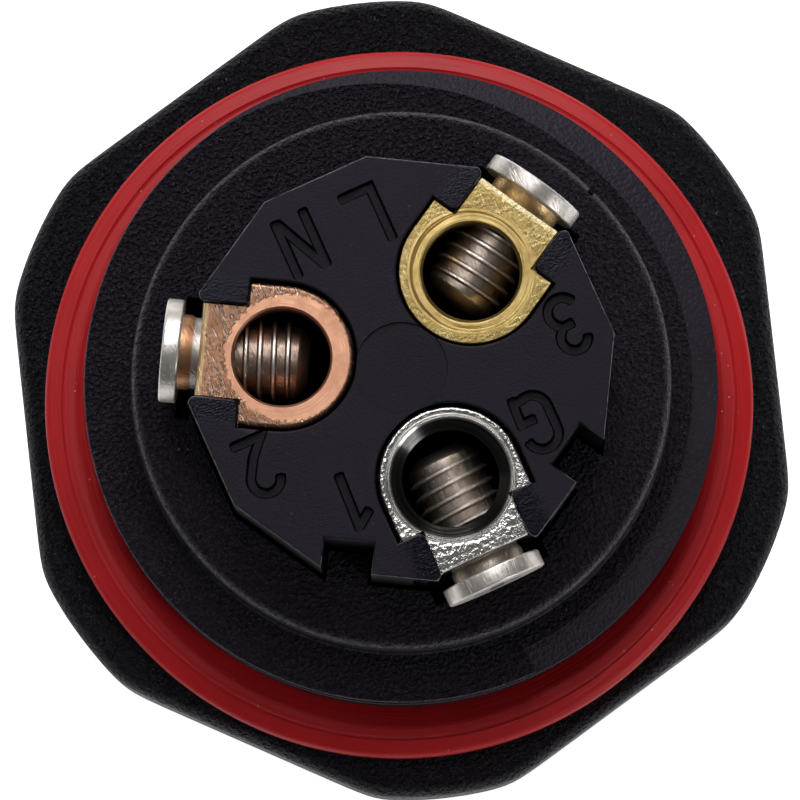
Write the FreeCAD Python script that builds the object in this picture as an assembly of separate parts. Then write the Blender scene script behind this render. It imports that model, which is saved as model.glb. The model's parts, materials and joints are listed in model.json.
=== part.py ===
import FreeCAD, Part
import math
import os

# Cable half of a waterproof three-pole coupler, all lengths in millimetres.
# It stands on its mating end with the wire terminals up: Z is the coupling axis, Z = 0 the mating end,
# and +Y points at the ground terminal. Sizes run from the clamp screws outwards, so each piece makes room
# for what it holds.

# Clamp screws, fine metric, one in each terminal
clamp_screw_diameter = 3.0
clamp_thread_clearance = 0.04
clamp_head_overhang = 0.43
clamp_head_thickness = 0.65
clamp_head_edge = 0.14
clamp_under_head_gap = 0.13
clamp_neck_depth = 0.14
clamp_neck_length = 0.33
clamp_tip_chamfer = 0.8
clamp_tip_clearance = 0.06
drive_recess_length = 1.9
drive_recess_width = 0.55
drive_recess_depth = 0.9

# Terminals, a pillar block at the wire end and a round contact pin at the mating end
terminal_pitch_radius = 4.43
screw_side_room = 0.3
terminal_wall = 0.82
clamp_thread_engagement = 1.27
clamp_hole_wall = 0.65
wire_depth = 9.0
drill_tip_height = 0.9
shank_wall = 0.7
contact_pin_diameter = 3.0
contact_pin_setback = 2.0
contact_pin_tip_radius = 0.9
contact_root_step = 0.3
contact_root_reach = 0.4
contact_undercut_depth = 0.2
contact_undercut_width = 0.4

# Carrier, the insulating block that holds the terminals
terminal_drop = 0.25
pocket_clearance = 0.16
boss_setback = 0.2
tab_length = 1.3
tab_thickness = 1.0
tab_reach = 0.86
tab_clearance = 0.05
shank_clearance = 0.05
pin_clearance = 0.08
pin_ledge_height = 2.4
key_slot_width = 1.85
key_slot_depth = 1.2
key_slot_runout = 0.14
key_clearance = 0.15
centre_sink_diameter = 3.4
centre_sink_depth = 0.12
carrier_flange_thickness = 3.2
carrier_fit_clearance = 0.15

# Seals on the contacts and round the carrier
cord_clearance = 0.02
cord_side_room = 0.1
contact_groove_depth = 0.7
contact_groove_width = 1.3
contact_groove_height = 2.2
carrier_groove_depth = 0.9
carrier_groove_width = 1.5

# Coupler body
head_gap = 0.37
column_clearance = 0.33
opening_clearance = 0.12
opening_height = 4.0
shoulder_width = 1.2
rear_collar_wall = 1.83
rear_collar_height = 2.5
spigot_wall = 3.7
spigot_length = 5.4
flange_thickness = 4.5
flange_land = 0.92
hex_corner_trim = 1.34
hex_turn = 12.0
flange_edge_radius = 0.4
mating_wall = 2.5
mating_collar_length = 14.0
mating_depth = 10.6
edge_chamfer = 0.25
entry_chamfer = 0.5
keyway_depth = 0.7
keyway_stop = 1.6
master_keyway_width = 3.0
side_keyway_width = 1.6

# Face seals, one on each side of the hexagon
seal_width = 2.1
seal_height = 1.5
seal_slack = 0.38
seal_lean = 0.36
seal_bead_width = 0.62
seal_line_depth = 0.07
seal_line_width = 0.14
seal_inner_drop = 0.3
seal_neck_depth = 0.9
seal_head_room = 0.1

# Retaining ring that keeps the carrier against its shoulder
retaining_ring_thickness = 0.9
retaining_ring_width = 1.4
retaining_groove_depth = 0.6
retaining_clearance = 0.05
retaining_ring_gap = 50.0

# Poles by their angle round the axis, how far each clamp screw stands out from fully home,
# and the bevel at the mouth of each wire bore
POLES = {
    "ground": {"angle": 90.0, "backed_out": 0.39, "mouth_bevel": 0.45},
    "line": {"angle": 210.0, "backed_out": 0.43, "mouth_bevel": 0.1},
    "neutral": {"angle": 330.0, "backed_out": 0.61, "mouth_bevel": 0.1},
}
KEY_SLOTS = ((60.0, -1), (120.0, 1))
KEYWAYS = ((90.0, master_keyway_width), (215.0, side_keyway_width), (325.0, side_keyway_width))
SEAL_LEAN_ANGLE = 53.0
CARRIER_SIDES = 12

# Radii that follow, from the wire bore outwards
clamp_radius = clamp_screw_diameter / 2
clamp_head_radius = clamp_radius + clamp_head_overhang
clamp_tip_radius = clamp_radius - clamp_tip_chamfer
wire_bore_radius = clamp_radius + screw_side_room
block_half_width = wire_bore_radius + terminal_wall
block_end = terminal_pitch_radius + wire_bore_radius + clamp_thread_engagement
shank_radius = wire_bore_radius + shank_wall
pin_radius = contact_pin_diameter / 2
pin_root_radius = pin_radius + contact_root_step
carrier_apothem = block_end + boss_setback
half_side_angle = math.radians(180.0 / CARRIER_SIDES)
carrier_half_flat = carrier_apothem * math.tan(half_side_angle)
column_radius = carrier_apothem / math.cos(half_side_angle)
body_bore_radius = column_radius + column_clearance
cavity_radius = body_bore_radius + shoulder_width
carrier_flange_radius = cavity_radius - carrier_fit_clearance
rear_collar_radius = body_bore_radius + rear_collar_wall
spigot_radius = body_bore_radius + spigot_wall
mating_radius = cavity_radius + mating_wall
spigot_neck_radius = spigot_radius - seal_neck_depth
mating_neck_radius = mating_radius - seal_neck_depth
hex_apothem = spigot_neck_radius + seal_slack + seal_width + flange_land
hex_corner_radius = hex_apothem / math.cos(math.radians(30.0)) - hex_corner_trim

# Heights that follow, from the mating end upwards
seal_neck_height = seal_height + seal_head_room
carrier_front = mating_depth
shoulder = carrier_front + carrier_flange_thickness
shank_bottom = carrier_front + pin_ledge_height
pin_root_bottom = carrier_front - contact_root_reach
pin_end = pin_root_bottom - contact_undercut_width
flange_bottom = mating_collar_length
flange_top = flange_bottom + flange_thickness
spigot_top = flange_top + spigot_length
collar_top = spigot_top + rear_collar_height
block_half_height = clamp_radius + clamp_hole_wall
clamp_axis = collar_top + head_gap + max(clamp_head_radius, block_half_height)
terminal_top = clamp_axis + block_half_height
pocket_floor = clamp_axis - block_half_height
carrier_face = terminal_top + terminal_drop
tab_underside = carrier_face - tab_thickness
mouth_half_width = block_half_width - tab_reach
tab_inner_end = carrier_apothem - tab_length
key_slot_inner = carrier_apothem - key_slot_depth
key_slot_end = carrier_half_flat + key_slot_runout
key_slot_start = key_slot_end - key_slot_width

# Places along each clamp screw's own axis, measured from the coupling axis
far_wall_room = math.sqrt(wire_bore_radius ** 2 - clamp_tip_radius ** 2)
clamp_tip_home = terminal_pitch_radius - far_wall_room + clamp_tip_clearance
clamp_shank_length = block_end - clamp_tip_home + clamp_under_head_gap

OVERRUN = 1.0
ORIGIN = FreeCAD.Vector(0, 0, 0)
AXIS = FreeCAD.Vector(0, 0, 1)


def turned(profile, origin=ORIGIN):
    """Solid turned about a vertical axis from (radius, height) corners."""
    corners = [FreeCAD.Vector(radius, 0, height) for radius, height in profile]
    solid = Part.Face(Part.makePolygon(corners + corners[:1])).revolve(ORIGIN, AXIS, 360)
    solid.translate(origin)
    return solid


def cylinder(radius, bottom, top, x=0.0):
    return Part.makeCylinder(radius, top - bottom, FreeCAD.Vector(x, 0, bottom))


def block(x_range, y_range, z_range):
    (x_low, x_high), (y_low, y_high), (z_low, z_high) = x_range, y_range, z_range
    corner = FreeCAD.Vector(x_low, y_low, z_low)
    return Part.makeBox(x_high - x_low, y_high - y_low, z_high - z_low, corner)


def regular_prism(apothem, sides, first_normal, bottom, top):
    """Upright prism whose flats stand square to first_normal and the angles that follow it."""
    radius = apothem / math.cos(math.pi / sides)
    angles = [math.radians(first_normal + 360.0 * (k + 0.5) / sides) for k in range(sides)]
    corners = [FreeCAD.Vector(radius * math.cos(a), radius * math.sin(a), bottom) for a in angles]
    face = Part.Face(Part.makePolygon(corners + corners[:1]))
    return face.extrude(FreeCAD.Vector(0, 0, top - bottom))


def pillar(half_width, end, bottom, top):
    """Upright U-shaped block on +X: half round about the terminal, straight sides out to end."""
    near_left = FreeCAD.Vector(terminal_pitch_radius, half_width, bottom)
    near_right = FreeCAD.Vector(terminal_pitch_radius, -half_width, bottom)
    inmost = FreeCAD.Vector(terminal_pitch_radius - half_width, 0, bottom)
    far_left = FreeCAD.Vector(end, half_width, bottom)
    far_right = FreeCAD.Vector(end, -half_width, bottom)
    edges = [
        Part.LineSegment(far_right, near_right).toShape(),
        Part.Arc(near_right, inmost, near_left).toShape(),
        Part.LineSegment(near_left, far_left).toShape(),
        Part.LineSegment(far_left, far_right).toShape(),
    ]
    return Part.Face(Part.Wire(edges)).extrude(FreeCAD.Vector(0, 0, top - bottom))


def rounded_section(inner, outer, bottom, top):
    """Upright face at y = 0 with fully rounded top and bottom, for a seal cord."""
    half = (outer - inner) / 2
    middle = (inner + outer) / 2
    low, high = bottom + half, top - half
    point = FreeCAD.Vector
    edges = [
        Part.Arc(point(inner, 0, low), point(middle, 0, bottom), point(outer, 0, low)).toShape(),
        Part.LineSegment(point(outer, 0, low), point(outer, 0, high)).toShape(),
        Part.Arc(point(outer, 0, high), point(middle, 0, top), point(inner, 0, high)).toShape(),
        Part.LineSegment(point(inner, 0, high), point(inner, 0, low)).toShape(),
    ]
    return Part.Face(Part.Wire(edges))


def at_angle(shape, angle):
    """The shape turned about the coupling axis, from +X to its own angle."""
    turned_shape = shape.copy()
    turned_shape.rotate(ORIGIN, AXIS, angle)
    return turned_shape


def at_poles(shape):
    return [at_angle(shape, pole["angle"]) for pole in POLES.values()]


def key_slot_solid(inner, outer, clearance, side, bottom, top):
    """Upright block on the +X flat, beside the corner on the given side."""
    near, far = side * (key_slot_start + clearance), side * (key_slot_end - clearance)
    return block((inner, outer), (min(near, far), max(near, far)), (bottom, top))


def make_hex_flange():
    prism = regular_prism(hex_apothem, 6, hex_turn + 30.0, flange_bottom, flange_top)
    trimmed = prism.common(cylinder(hex_corner_radius, flange_bottom, flange_top))
    # Only the level edges are rounded, the uprights between the flats stay as they are
    rim = [edge for edge in trimmed.Edges if edge.BoundBox.ZLength < flange_edge_radius]
    return trimmed.makeFillet(flange_edge_radius, rim)


def make_coupler_body():
    """One moulding: mating collar, hexagon, threaded spigot and rear collar, bored through."""
    outside = turned([
        (0, 0),
        (mating_radius - edge_chamfer, 0),
        (mating_radius, edge_chamfer),
        (mating_radius, flange_bottom - seal_neck_height),
        (mating_neck_radius, flange_bottom - seal_neck_height),
        (mating_neck_radius, flange_bottom + flange_thickness / 2),
        (spigot_neck_radius, flange_bottom + flange_thickness / 2),
        (spigot_neck_radius, flange_top + seal_neck_height),
        (spigot_radius, flange_top + seal_neck_height),
        (spigot_radius, spigot_top - edge_chamfer),
        (spigot_radius - edge_chamfer, spigot_top),
        (rear_collar_radius, spigot_top),
        (rear_collar_radius, collar_top - edge_chamfer),
        (rear_collar_radius - edge_chamfer, collar_top),
        (0, collar_top),
    ])
    opening_bottom = collar_top - opening_height
    top = collar_top + OVERRUN
    groove_bottom = carrier_front - retaining_ring_thickness - 2 * retaining_clearance
    hollow = turned([
        (0, -OVERRUN),
        (cavity_radius + entry_chamfer + OVERRUN, -OVERRUN),
        (cavity_radius, entry_chamfer),
        (cavity_radius, groove_bottom),
        (cavity_radius + retaining_groove_depth, groove_bottom),
        (cavity_radius + retaining_groove_depth, carrier_front),
        (cavity_radius, carrier_front),
        (cavity_radius, shoulder),
        (body_bore_radius, shoulder),
        (body_bore_radius, opening_bottom),
        (0, opening_bottom),
    ])
    opening = regular_prism(carrier_apothem + opening_clearance, CARRIER_SIDES, 0.0, opening_bottom, top)
    relief_half_width = block_half_width + opening_clearance
    relief = block((0, body_bore_radius), (-relief_half_width, relief_half_width), (opening_bottom, top))
    for angle, side in KEY_SLOTS:
        rib_outer = carrier_apothem + opening_clearance + OVERRUN
        rib = key_slot_solid(key_slot_inner + key_clearance, rib_outer, key_clearance, side,
                             opening_bottom, top)
        opening = opening.cut(at_angle(rib, angle))
    keyways = [
        at_angle(block((0, cavity_radius + keyway_depth), (-width / 2, width / 2),
                       (-OVERRUN, groove_bottom - keyway_stop)), angle)
        for angle, width in KEYWAYS
    ]
    body = outside.fuse(make_hex_flange())
    return body.cut([hollow, opening] + at_poles(relief) + keyways).removeSplitter()


def make_face_seal():
    """Silicone ring on the flange: rounded outer bead, a parting line, and a lower inner land."""
    inner = spigot_neck_radius + seal_slack
    outer = inner + seal_width
    bead_centre = outer - seal_bead_width
    bead_low = seal_height - seal_bead_width
    lean = seal_bead_width * math.sqrt(0.5)
    line_end = bead_centre - seal_line_width
    line_middle = bead_centre - seal_line_width / 2
    point = FreeCAD.Vector
    corners = [
        point(bead_centre, 0, seal_height),
        point(line_middle, 0, seal_height - seal_line_depth),
        point(line_end, 0, seal_height),
        point(inner, 0, seal_height - seal_inner_drop),
        point(inner, 0, 0),
        point(outer, 0, 0),
        point(outer, 0, bead_low),
    ]
    edges = [Part.LineSegment(a, b).toShape() for a, b in zip(corners, corners[1:])]
    bead_middle = point(bead_centre + lean, 0, bead_low + lean)
    edges.append(Part.Arc(corners[-1], bead_middle, corners[0]).toShape())
    return Part.Face(Part.Wire(edges)).revolve(ORIGIN, AXIS, 360)


def make_flange_seal():
    """The ring lies on the flange, slack on its neck and leaning to one side."""
    seal = make_face_seal()
    lean = math.radians(SEAL_LEAN_ANGLE)
    seal.translate(FreeCAD.Vector(seal_lean * math.cos(lean), seal_lean * math.sin(lean), flange_top))
    return seal


def make_mating_seal():
    """The same ring turned over, against the underside of the flange."""
    seal = make_face_seal()
    seal.rotate(ORIGIN, FreeCAD.Vector(1, 0, 0), 180)
    seal.translate(FreeCAD.Vector(0, 0, flange_bottom))
    return seal


def make_contact_carrier():
    """Twelve-sided column on a round flange, with three pockets, their tabs and two key slots."""
    column = regular_prism(carrier_apothem, CARRIER_SIDES, 0.0, shoulder, carrier_face)
    middle = shoulder - carrier_flange_thickness / 2
    groove_low = middle - carrier_groove_width / 2
    groove_high = middle + carrier_groove_width / 2
    groove_radius = carrier_flange_radius - carrier_groove_depth
    flange = turned([
        (0, carrier_front),
        (carrier_flange_radius, carrier_front),
        (carrier_flange_radius, groove_low),
        (groove_radius, groove_low),
        (groove_radius, groove_high),
        (carrier_flange_radius, groove_high),
        (carrier_flange_radius, shoulder),
        (0, shoulder),
    ])
    top = carrier_face + OVERRUN
    outside = carrier_apothem + OVERRUN
    pocket_half_width = block_half_width + pocket_clearance
    cuts = at_poles(pillar(pocket_half_width, outside, pocket_floor, tab_underside))
    cuts += at_poles(pillar(pocket_half_width, tab_inner_end, tab_underside, top))
    mouth = block((terminal_pitch_radius, outside), (-mouth_half_width, mouth_half_width),
                  (tab_underside, top))
    cuts += at_poles(mouth)
    cuts += at_poles(cylinder(shank_radius + shank_clearance, shank_bottom, pocket_floor,
                              terminal_pitch_radius))
    cuts += at_poles(cylinder(pin_root_radius + pin_clearance, carrier_front - OVERRUN, shank_bottom,
                              terminal_pitch_radius))
    for angle, side in KEY_SLOTS:
        slot = key_slot_solid(key_slot_inner, outside, 0.0, side, shoulder, top)
        cuts.append(at_angle(slot, angle))
    cuts.append(cylinder(centre_sink_diameter / 2, carrier_face - centre_sink_depth, top))
    return column.fuse(flange).cut(cuts).removeSplitter()


def make_terminal(pole):
    """Pillar block, shank with a seal groove, and contact pin with its root, made in one piece."""
    centre = FreeCAD.Vector(terminal_pitch_radius, 0, 0)
    head = pillar(block_half_width, block_end, pocket_floor, terminal_top)
    rebate_floor = tab_underside - tab_clearance
    rebate_start = tab_inner_end - tab_clearance
    neck_half_width = mouth_half_width - tab_clearance
    rebate_side = (neck_half_width, block_half_width + OVERRUN)
    x_range = (rebate_start, block_end + OVERRUN)
    z_range = (rebate_floor, terminal_top + OVERRUN)
    rebates = [block(x_range, rebate_side, z_range),
               block(x_range, (-rebate_side[1], -rebate_side[0]), z_range)]
    groove_low = shank_bottom + contact_groove_height - contact_groove_width / 2
    groove_high = groove_low + contact_groove_width
    groove_radius = shank_radius - contact_groove_depth
    pin_tip = contact_pin_setback
    shank_and_pin = turned([
        (0, pin_tip),
        (pin_radius - contact_pin_tip_radius, pin_tip),
        (pin_radius, pin_tip + contact_pin_tip_radius),
        (pin_radius, pin_end),
        (pin_radius - contact_undercut_depth, pin_end),
        (pin_radius - contact_undercut_depth, pin_root_bottom),
        (pin_root_radius, pin_root_bottom),
        (pin_root_radius, shank_bottom),
        (shank_radius, shank_bottom),
        (shank_radius, groove_low),
        (groove_radius, groove_low),
        (groove_radius, groove_high),
        (shank_radius, groove_high),
        (shank_radius, pocket_floor),
        (0, pocket_floor),
    ], centre)
    bore_bottom = terminal_top - wire_depth
    bevel = pole["mouth_bevel"]
    bore = turned([
        (0, bore_bottom - drill_tip_height),
        (wire_bore_radius, bore_bottom),
        (wire_bore_radius, terminal_top - bevel),
        (wire_bore_radius + bevel + OVERRUN, terminal_top + OVERRUN),
        (0, terminal_top + OVERRUN),
    ], centre)
    clamp_hole = Part.makeCylinder(clamp_radius + clamp_thread_clearance,
                                   block_end + OVERRUN - terminal_pitch_radius,
                                   FreeCAD.Vector(terminal_pitch_radius, 0, clamp_axis),
                                   FreeCAD.Vector(1, 0, 0))
    terminal = head.fuse(shank_and_pin).cut(rebates + [bore, clamp_hole]).removeSplitter()
    return at_angle(terminal, pole["angle"])


def make_contact_seal(pole):
    """Rubber ring in the groove of the terminal's shank."""
    middle = shank_bottom + contact_groove_height
    inner = shank_radius - contact_groove_depth + cord_clearance
    outer = shank_radius + shank_clearance - cord_clearance
    half_height = contact_groove_width / 2 - cord_side_room
    section = rounded_section(inner, outer, middle - half_height, middle + half_height)
    ring = section.revolve(ORIGIN, AXIS, 360)
    ring.translate(FreeCAD.Vector(terminal_pitch_radius, 0, 0))
    return at_angle(ring, pole["angle"])


def make_carrier_seal():
    """Rubber ring in the groove of the carrier's flange."""
    middle = shoulder - carrier_flange_thickness / 2
    inner = carrier_flange_radius - carrier_groove_depth + cord_clearance
    outer = cavity_radius - cord_clearance
    half_height = carrier_groove_width / 2 - cord_side_room
    section = rounded_section(inner, outer, middle - half_height, middle + half_height)
    return section.revolve(ORIGIN, AXIS, 360)


def make_retaining_ring():
    """Open spring ring under the carrier's flange, sprung into the groove of the collar."""
    outer = cavity_radius + retaining_groove_depth - retaining_clearance
    inner = outer - retaining_ring_width
    top = carrier_front - retaining_clearance
    bottom = top - retaining_ring_thickness
    corners = [(inner, bottom), (outer, bottom), (outer, top), (inner, top)]
    points = [FreeCAD.Vector(radius, 0, height) for radius, height in corners]
    section = Part.Face(Part.makePolygon(points + points[:1]))
    ring = section.revolve(ORIGIN, AXIS, 360 - retaining_ring_gap)
    return at_angle(ring, 270.0 + retaining_ring_gap / 2)


def make_clamp_screw(pole):
    """Flat-headed screw across the wire bore, its head outwards, with a cross recess."""
    tip = clamp_tip_home + pole["backed_out"]
    under_head = tip + clamp_shank_length
    crown = under_head + clamp_head_thickness
    neck_start = under_head - clamp_neck_length
    neck_radius = clamp_radius - clamp_neck_depth
    profile = [
        (tip, 0),
        (tip, clamp_tip_radius),
        (tip + clamp_tip_chamfer, clamp_radius),
        (neck_start, clamp_radius),
        (neck_start + clamp_neck_depth, neck_radius),
        (under_head, neck_radius),
        (under_head, clamp_head_radius),
        (crown - clamp_head_edge, clamp_head_radius),
        (crown, clamp_head_radius - clamp_head_edge),
        (crown, 0),
    ]
    corners = [FreeCAD.Vector(x, 0, clamp_axis + radius) for x, radius in profile]
    face = Part.Face(Part.makePolygon(corners + corners[:1]))
    screw = face.revolve(FreeCAD.Vector(0, 0, clamp_axis), FreeCAD.Vector(1, 0, 0), 360)
    half_length, half_width = drive_recess_length / 2, drive_recess_width / 2
    depth = (crown - drive_recess_depth, crown + OVERRUN)
    upright = (clamp_axis - half_length, clamp_axis + half_length)
    level = (clamp_axis - half_width, clamp_axis + half_width)
    screw = screw.cut([block(depth, (-half_width, half_width), upright),
                       block(depth, (-half_length, half_length), level)])
    return at_angle(screw, pole["angle"])


pieces = {
    "coupler_body": make_coupler_body(),
    "flange_seal": make_flange_seal(),
    "mating_seal": make_mating_seal(),
    "contact_carrier": make_contact_carrier(),
    "carrier_seal": make_carrier_seal(),
    "retaining_ring": make_retaining_ring(),
}
for name, pole in POLES.items():
    pieces["terminal_" + name] = make_terminal(pole)
    pieces["contact_seal_" + name] = make_contact_seal(pole)
    pieces["clamp_screw_" + name] = make_clamp_screw(pole)

os.makedirs("parts", exist_ok=True)
for name, shape in pieces.items():
    shape.exportStep(os.path.join("parts", name + ".step"))
    print(name, "solids", len(shape.Solids), "volume", round(shape.Volume, 2), "valid", shape.isValid())
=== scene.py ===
import bmesh
import bpy
import json
from math import acos, ceil, cos, exp, log1p, pi, radians, sin, sqrt, tan
from mathutils import Matrix, Vector


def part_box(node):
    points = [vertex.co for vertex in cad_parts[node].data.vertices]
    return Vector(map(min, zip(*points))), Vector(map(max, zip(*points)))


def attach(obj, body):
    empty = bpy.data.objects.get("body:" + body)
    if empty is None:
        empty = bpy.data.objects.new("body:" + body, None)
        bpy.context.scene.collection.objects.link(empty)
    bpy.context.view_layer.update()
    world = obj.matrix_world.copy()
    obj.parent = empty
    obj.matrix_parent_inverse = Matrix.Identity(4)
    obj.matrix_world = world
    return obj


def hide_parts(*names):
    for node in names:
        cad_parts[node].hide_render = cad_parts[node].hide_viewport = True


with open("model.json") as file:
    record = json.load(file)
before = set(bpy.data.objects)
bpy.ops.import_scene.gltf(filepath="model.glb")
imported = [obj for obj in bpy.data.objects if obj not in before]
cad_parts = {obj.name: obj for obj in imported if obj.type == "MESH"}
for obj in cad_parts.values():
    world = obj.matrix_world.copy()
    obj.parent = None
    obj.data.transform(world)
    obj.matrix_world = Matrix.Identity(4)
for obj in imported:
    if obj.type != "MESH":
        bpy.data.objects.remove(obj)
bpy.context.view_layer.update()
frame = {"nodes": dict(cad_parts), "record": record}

# Coupler body: one black glass-filled nylon moulding, with the hexagon for a spanner, a threaded spigot for
# the rear housing and a threaded collar for the other half. The mould leaves a pebbled grain on the faces
# and nearly smooth threads.
mm = 0.001
mounts = {mount["name"]: mount for mount in frame["record"]["mounts"]}
spigot_thread = mounts["gland_thread"]
carrier_low, carrier_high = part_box("contact_carrier")
flange_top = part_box("flange_seal")[0].z
flange_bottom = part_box("mating_seal")[1].z
rear_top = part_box("coupler_body")[1].z
spigot_radius = spigot_thread["dims"]["r_mm"] * mm
collar_radius = mounts["coupling_thread"]["dims"]["r_mm"] * mm
lead_chamfer = 0.25 * mm
spigot_top = spigot_thread["pos_m"][2] + spigot_thread["dims"]["length_mm"] / 2 * mm + lead_chamfer
spigot_edge = 0.08 * mm
neck_height = 1.6 * mm
neck_radius = spigot_radius - 0.9 * mm
rear_radius = 10.132 * mm
rear_fillet = 0.15 * mm
rear_edge = 0.32 * mm
hex_apothem = 14.502 * mm
hex_corner_radius = 15.405 * mm
hex_first_corner = radians(12.0)
hex_edge_round = 0.4 * mm
hex_corner_blend = 0.12 * mm
web_radius = 6.0 * mm
opening_bottom = rear_top - 4.0 * mm
opening_apothem = 7.82 * mm
bore_radius = 8.302 * mm
cavity_radius = 9.502 * mm
cavity_groove_radius = 10.102 * mm
cavity_groove_bottom = carrier_low.z - 1.0 * mm
shoulder = carrier_low.z + 3.2 * mm
entry_chamfer = 0.5 * mm
overshoot = 1.0 * mm


def polar(radius, turn, height):
    return Vector((radius * cos(turn), radius * sin(turn), height))


def edge_arc(centre, size, start, end, steps=8):
    """Points of an arc in a section, from one angle in degrees to another."""
    turns = [radians(start + (end - start) * step / steps) for step in range(steps + 1)]
    return [(centre[0] + size * cos(turn), centre[1] + size * sin(turn)) for turn in turns]


def turned_rings(angles, section):
    """Rings of points round the coupling axis, one for each (radius, height) of a section."""
    return [[polar(radius, turn, height) for turn in angles] for radius, height in section]


def new_piece(name, form):
    """An object made of a finished bmesh, with its faces turned outwards."""
    bmesh.ops.recalc_face_normals(form, faces=form.faces)
    mesh = bpy.data.meshes.new(name)
    form.to_mesh(mesh)
    form.free()
    piece = bpy.data.objects.new(name, mesh)
    bpy.context.scene.collection.objects.link(piece)
    return piece


def lofted(name, rings, closed=False):
    """Skin through rings of points, capped at its ends, or closed from the last ring to the first."""
    form = bmesh.new()
    loops = [[form.verts.new(point) for point in ring] for ring in rings]
    pairs = list(zip(loops, loops[1:]))
    if closed:
        pairs.append((loops[-1], loops[0]))
    for loop, following in pairs:
        for k in range(len(loop)):
            form.faces.new((loop[k - 1], loop[k], following[k], following[k - 1]))
    if not closed:
        form.faces.new(loops[0])
        form.faces.new(loops[-1])
    return new_piece(name, form)


def prism(name, outline, bottom, top):
    """Upright block with a flat outline of (x, y) corners."""
    return lofted(name, [[Vector((x, y, height)) for x, y in outline] for height in (bottom, top)])


def along_thread(name, section_at, low, high, pitch, phase, steps_per_turn):
    """Bar wound as a right-hand thread, its section of (radius, rise) corners taken at each height."""
    steps = ceil((high - low) / pitch * steps_per_turn)
    rings = []
    for step in range(steps + 1):
        height = low + (high - low) * step / steps
        turn = phase + 2 * pi * height / pitch
        rings.append([polar(radius, turn, height + rise) for radius, rise in section_at(height)])
    return lofted(name, rings)


def baked(piece):
    """Makes a piece's modifiers part of its mesh."""
    shape = bpy.data.meshes.new_from_object(piece.evaluated_get(bpy.context.evaluated_depsgraph_get()))
    old = piece.data
    piece.modifiers.clear()
    piece.data = shape
    shape.name = old.name
    bpy.data.meshes.remove(old)


def combined(piece, operation, others):
    """Joins other pieces to a piece or cuts them out of it, one by one, and removes them."""
    for other in others:
        modifier = piece.modifiers.new("combine", "BOOLEAN")
        modifier.operation = operation
        modifier.solver = "MANIFOLD"
        modifier.object = other
        baked(piece)
        bpy.data.meshes.remove(other.data)
    piece.data.materials.clear()


def shaded(piece, crease):
    """Smooth shading that breaks at creases sharper than an angle in degrees, with flat faces kept flat."""
    for face in piece.data.polygons:
        face.use_smooth = True
    piece.data.set_sharp_from_angle(angle=radians(crease))
    modifier = piece.modifiers.new("flat faces", "WEIGHTED_NORMAL")
    modifier.keep_sharp = True
    baked(piece)


def turned_to(points, angle):
    """Flat points turned about the coupling axis by an angle in degrees."""
    along, across = cos(radians(angle)), sin(radians(angle))
    return [(x * along - y * across, x * across + y * along) for x, y in points]


def mirrored(points):
    """The same run of points on the other side of the X axis, in the opposite order."""
    return [(x, -y) for x, y in reversed(points)]


def strip(start, end, half_width):
    """Corners of a strip along the X axis."""
    return [(start, -half_width), (end, -half_width), (end, half_width), (start, half_width)]


body_angles = [radians(k) for k in range(360)]
corner_half_angle = pi / 6 - acos(hex_apothem / hex_corner_radius)
for side in range(6):
    corner = hex_first_corner + side * pi / 3
    body_angles += [corner - corner_half_angle, corner + corner_half_angle]
body_angles = sorted(angle % (2 * pi) for angle in body_angles)


def hexagon(inset, height):
    """Ring round the hexagon with trimmed corners, moved inwards by the inset."""
    ring = []
    for turn in body_angles:
        from_flat = (turn - hex_first_corner) % (pi / 3) - pi / 6
        to_flat, to_corner = (hex_apothem - inset) / cos(from_flat), hex_corner_radius - inset
        blend = log1p(exp(-abs(to_flat - to_corner) / hex_corner_blend))
        ring.append(polar(min(to_flat, to_corner) - hex_corner_blend * blend, turn, height))
    return ring


collar_section = edge_arc((collar_radius - lead_chamfer, lead_chamfer), lead_chamfer, -90, 0)
collar_section += [
    (collar_radius, flange_bottom - neck_height),
    (neck_radius, flange_bottom - neck_height),
    (neck_radius, flange_bottom),
]
hex_section = edge_arc((0, flange_bottom + hex_edge_round), hex_edge_round, -90, 0)
hex_section += edge_arc((0, flange_top - hex_edge_round), hex_edge_round, 0, 90)
spigot_section = [
    (neck_radius, flange_top),
    (neck_radius, flange_top + neck_height),
    (spigot_radius, flange_top + neck_height),
]
spigot_section += edge_arc((spigot_radius - spigot_edge, spigot_top - spigot_edge), spigot_edge, 0, 90)
spigot_section += edge_arc((rear_radius + rear_fillet, spigot_top + rear_fillet), rear_fillet, 270, 180)
spigot_section += edge_arc((rear_radius - rear_edge, rear_top - rear_edge), rear_edge, 0, 90)
inside_section = [
    (web_radius, rear_top),
    (web_radius, opening_bottom),
    (bore_radius, opening_bottom),
    (bore_radius, shoulder),
    (cavity_radius, shoulder),
    (cavity_radius, carrier_low.z),
    (cavity_groove_radius, carrier_low.z),
    (cavity_groove_radius, cavity_groove_bottom),
    (cavity_radius, cavity_groove_bottom),
    (cavity_radius, entry_chamfer),
    (cavity_radius + entry_chamfer, 0.0),
]
rings = turned_rings(body_angles, collar_section)
rings += [hexagon(hex_edge_round - reach, height) for reach, height in hex_section]
rings += turned_rings(body_angles, spigot_section + inside_section)
body = lofted("body_moulding", rings, closed=True)

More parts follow.
